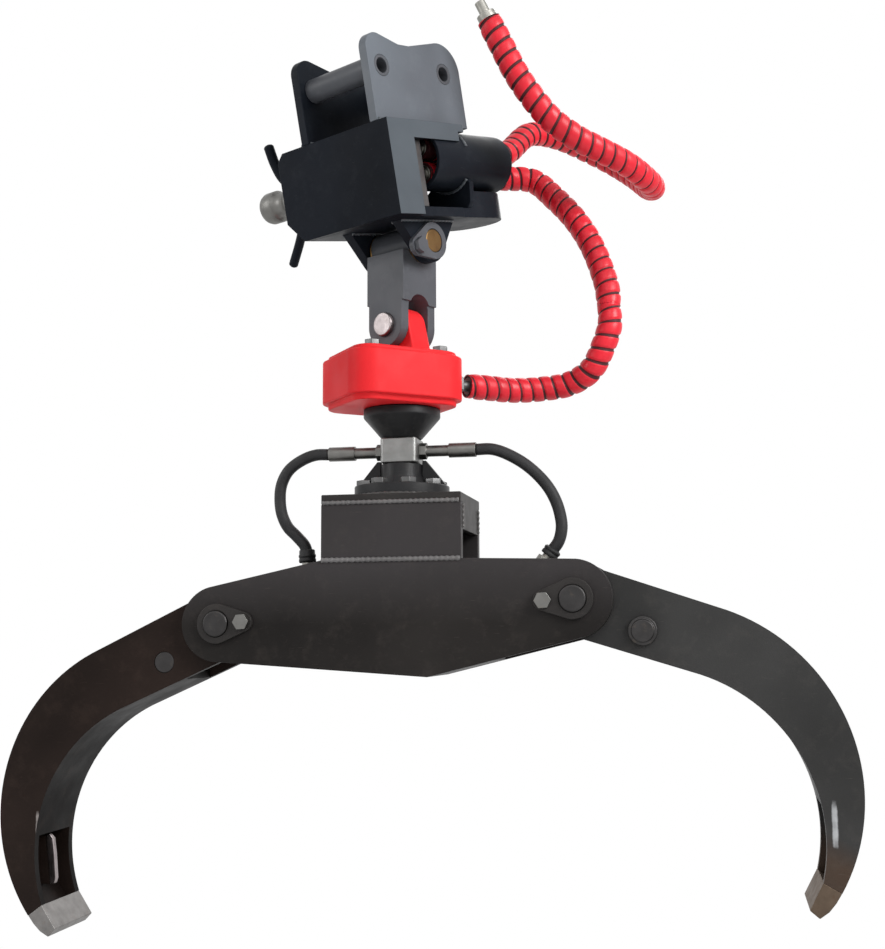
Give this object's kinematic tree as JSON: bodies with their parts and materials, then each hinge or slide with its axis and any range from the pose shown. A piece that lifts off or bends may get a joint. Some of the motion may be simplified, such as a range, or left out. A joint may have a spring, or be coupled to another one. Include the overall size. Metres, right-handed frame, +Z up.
{
  "type": "rotating log grapple",
  "caption": "Hydraulic log grapple: hitch head, universal link, rotator, and a box body with two curved arms that a lying cylinder opens and closes.",
  "frame": {"origin": "centre of the front hitch bar, midway between the ears", "axes": "+Z up along the rotator's axis, +X along the jaw's span to the rod's side, -Y towards the front of the body"},
  "size_m": [1.0348, 0.4067, 1.156],
  "materials": {
    "red": "glossy red paint",
    "guard": "red spiral guard",
    "hose": "black rubber",
    "brass": "machined brass",
    "zinc": "zinc plated",
    "pin": "turned steel",
    "chrome": "hard chrome",
    "bare": "bare worn steel",
    "alloy": "machined",
    "head": "blue-grey satin paint",
    "frame": "black satin paint"
  },
  "bodies": {
    "hitch_head": {"head_ear_right": "head", "head_ear_left": "head", "hitch_bar_front": "head", "hitch_bar_rear": "head", "head_box": "head", "head_base": "head", "head_lugs": "head", "hose_sleeve": "head", "manifold_block": "alloy", "manifold_fittings": "zinc", "upper_pin": "pin", "upper_pin_keeper": "zinc", "lock_pin": "pin", "lock_pin_handle": "head", "guard_hose_upper": "guard", "hose_end_fitting": "zinc", "guard_hose_head": "guard"},
    "swivel_link": {"link_block": "head", "link_upper_bushes": "brass", "lower_pin": "pin", "grease_nipples": "brass"},
    "rotator_body": {"rotator_housing": "red", "rotator_lug": "red", "link_lower_bushes": "brass", "rotator_bolts": "zinc", "rotator_ports": "zinc", "guard_hose_rotator": "guard"},
    "turning_frame": {"rotor": "frame", "hose_tee": "alloy", "tee_fittings": "zinc", "mast": "frame", "mast_bolts": "zinc", "tower_box": "frame", "body_plate_front": "frame", "body_plate_back": "frame", "body_floor": "frame", "body_ribs": "frame", "pivot_pin_left": "pin", "pivot_pin_right": "pin", "pivot_keepers": "frame", "keeper_bolts": "zinc", "hose_left": "hose", "hose_right": "hose"},
    "left_grab_arm": {"arm_left": "frame", "arm_left_tip": "bare", "arm_left_bush": "brass", "arm_left_cross_pin": "pin", "barrel_pin": "pin"},
    "right_grab_arm": {"arm_right": "frame", "arm_right_tip": "bare", "arm_right_bush": "brass", "arm_right_cross_pin": "pin", "rod_pin": "pin"},
    "ram_barrel": {"cylinder_barrel": "frame", "cylinder_gland": "pin", "barrel_ports": "zinc"},
    "ram_rod": {"cylinder_rod": "chrome", "cylinder_piston": "pin", "rod_port": "zinc"}
  },
  "joints": [
    {"name": "link_swing", "type": "hinge", "parent": "hitch_head", "child": "swivel_link", "pos_m": [0.05114, 0.09225, -0.19015], "axis": [0.8746, -0.4848, 0], "range_deg": [-22, 48], "deforming": ["guard_hose_head"]},
    {"name": "rotator_tilt", "type": "hinge", "parent": "swivel_link", "child": "rotator_body", "pos_m": [0.05114, 0.09225, -0.29415], "axis": [0.4848, 0.8746, 0], "range_deg": [-30, 30], "deforming": ["guard_hose_rotator"]},
    {"name": "rotator_spin", "type": "hinge", "parent": "rotator_body", "child": "turning_frame", "pos_m": [0.05114, 0.09225, -0.39815], "axis": [0, 0, 1], "continuous": true},
    {"name": "arm_left_close", "type": "hinge", "parent": "turning_frame", "child": "left_grab_arm", "pos_m": [-0.16548, 0.09225, -0.66302], "axis": [0, -1, 0], "range_deg": [0, 61], "deforming": ["hose_left"]},
    {"name": "arm_right_close", "type": "hinge", "parent": "turning_frame", "child": "right_grab_arm", "pos_m": [0.26775, 0.09225, -0.63728], "axis": [0, 1, 0], "range_deg": [0, 61], "deforming": ["hose_right"]},
    {"name": "barrel_swing", "type": "hinge", "parent": "left_grab_arm", "child": "ram_barrel", "pos_m": [-0.11094, 0.09225, -0.63353], "axis": [0, 1, 0], "range_deg": [0, 61]},
    {"name": "rod_swing", "type": "hinge", "parent": "right_grab_arm", "child": "ram_rod", "pos_m": [0.21011, 0.09225, -0.61445], "axis": [0, -1, 0], "range_deg": [0, 61]}
  ],
  "couplings": [
    {"joint": "arm_right_close", "follows": "arm_left_close", "ratio": 1},
    {"joint": "barrel_swing", "follows": "arm_left_close", "ratio": 1},
    {"joint": "rod_swing", "follows": "arm_left_close", "ratio": 1}
  ]
}
